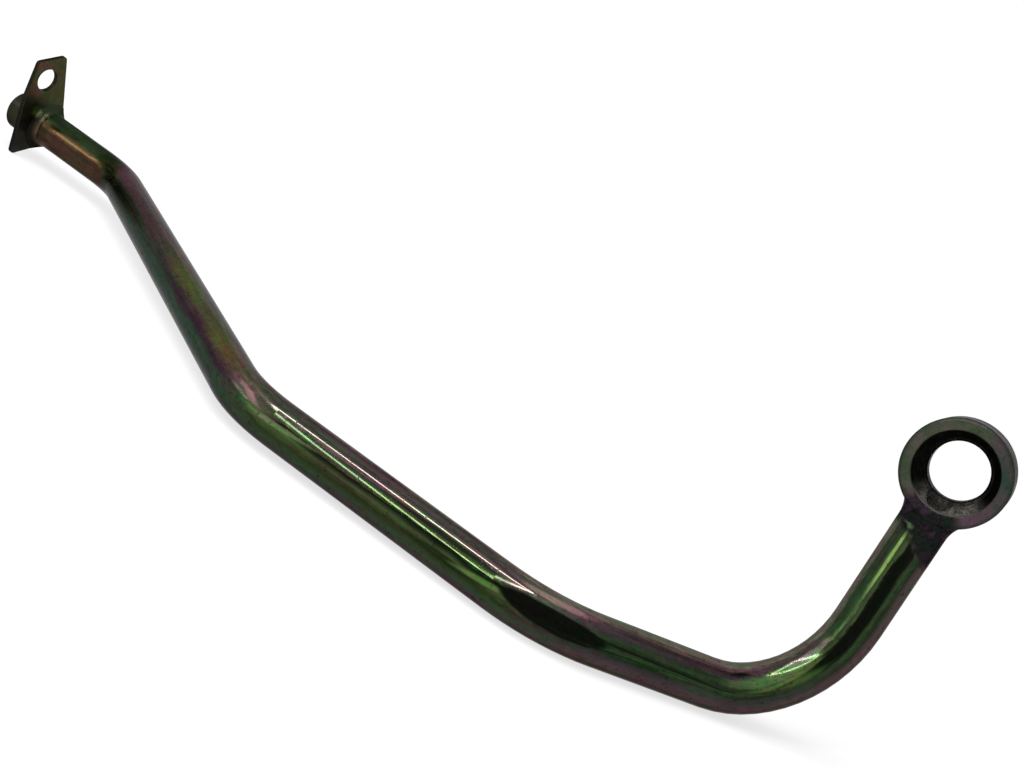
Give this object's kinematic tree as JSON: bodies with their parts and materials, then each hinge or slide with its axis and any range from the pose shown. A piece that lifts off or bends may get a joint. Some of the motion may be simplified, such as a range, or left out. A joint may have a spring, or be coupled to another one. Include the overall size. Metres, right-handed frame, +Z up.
{
  "type": "oil pump pipe",
  "caption": "Bent steel oil pipe for an engine's oil pump, with a brazed bolt-on plate and spigot at one end and a ring eye for a hollow bolt at the other.",
  "frame": {"origin": "centre of the bounding box's footprint, at the height of the surface the pipe lies on", "axes": "+X along the flange end's level leg, from the plate towards the eye's end; +Z up, as the pipe lies; +Y the side away from the eye's open mouth"},
  "size_m": [0.4028, 0.1196, 0.1033],
  "materials": {
    "plated_tube": "dark iridescent yellow zinc chromate, glossy, green in the middle and purple at the edges",
    "plated_plate": "dark iridescent yellow zinc chromate, satin, olive and pinkish brown",
    "plated_eye": "dark iridescent yellow zinc chromate, matte turned face, grey green and purple",
    "plated_braze": "dark iridescent zinc chromate over brazing filler, slightly rough"
  },
  "bodies": {
    "root": {"pipe": "plated_tube", "flange_plate": "plated_plate", "eye": "plated_eye", "flange_braze": "plated_braze", "eye_braze": "plated_braze"}
  },
  "joints": []
}
